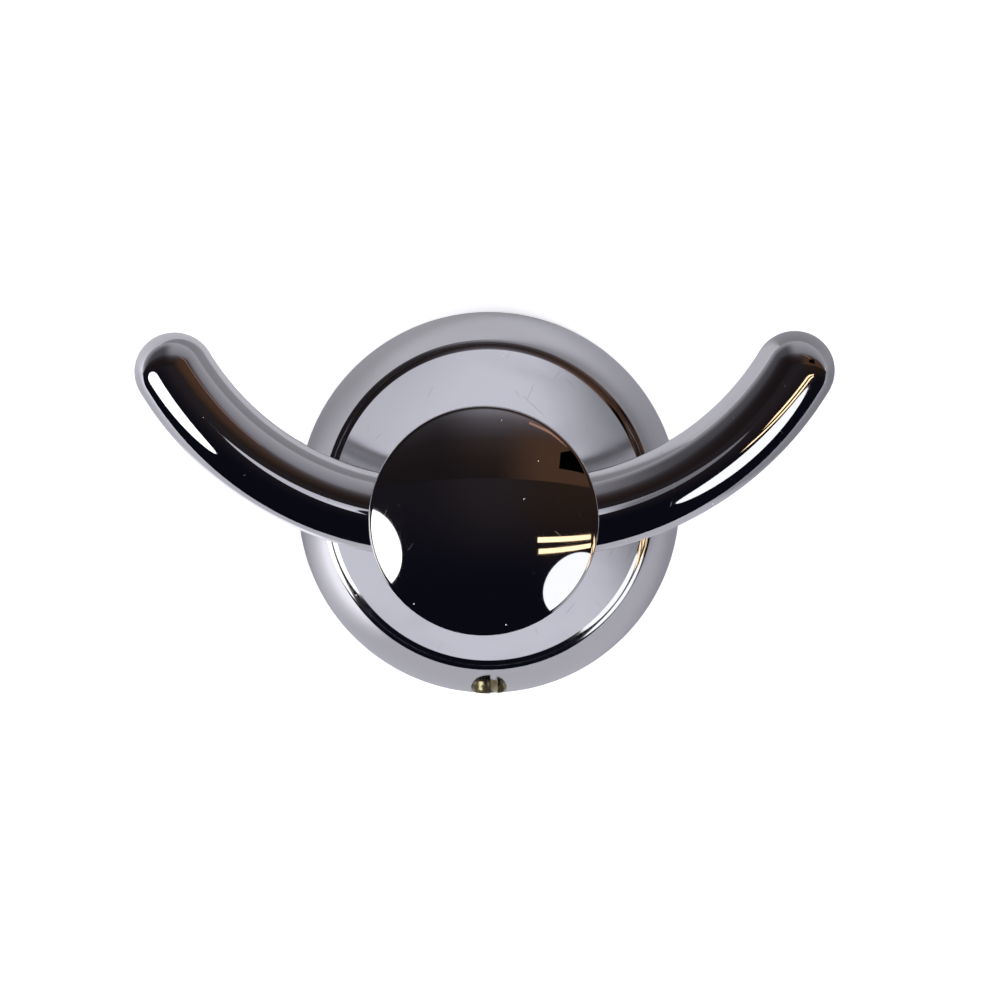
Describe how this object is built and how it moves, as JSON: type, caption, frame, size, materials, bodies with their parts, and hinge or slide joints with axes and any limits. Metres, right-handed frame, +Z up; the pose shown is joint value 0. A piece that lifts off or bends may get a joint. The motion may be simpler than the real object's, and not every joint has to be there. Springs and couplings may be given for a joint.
{
  "type": "robe hook",
  "caption": "Double robe hook: a bowed round bar on a turned post, a domed cap in front and a round rose that a set screw holds on its wall bracket.",
  "frame": {"origin": "centre of the wall bracket's flat back, on the hook's axis, in the plane of the wall", "axes": "+Z up the wall, +X to the right as seen by someone facing the hook, +Y into the wall, so the hook projects towards -Y"},
  "size_m": [0.0964, 0.0637, 0.0636],
  "materials": {
    "polished_chrome": "polished, mirror bright with fine scratches",
    "screw_brass": "turned, slightly tarnished",
    "cast_zinc": "as cast, dull",
    "zinc_plated_steel": "bright plated"
  },
  "bodies": {
    "root": {"escutcheon": "polished_chrome", "wall_bracket": "cast_zinc", "set_screw": "screw_brass", "post": "polished_chrome", "arms": "polished_chrome", "front_cap": "polished_chrome", "tie_screw": "zinc_plated_steel", "lock_washer": "zinc_plated_steel"}
  },
  "joints": []
}
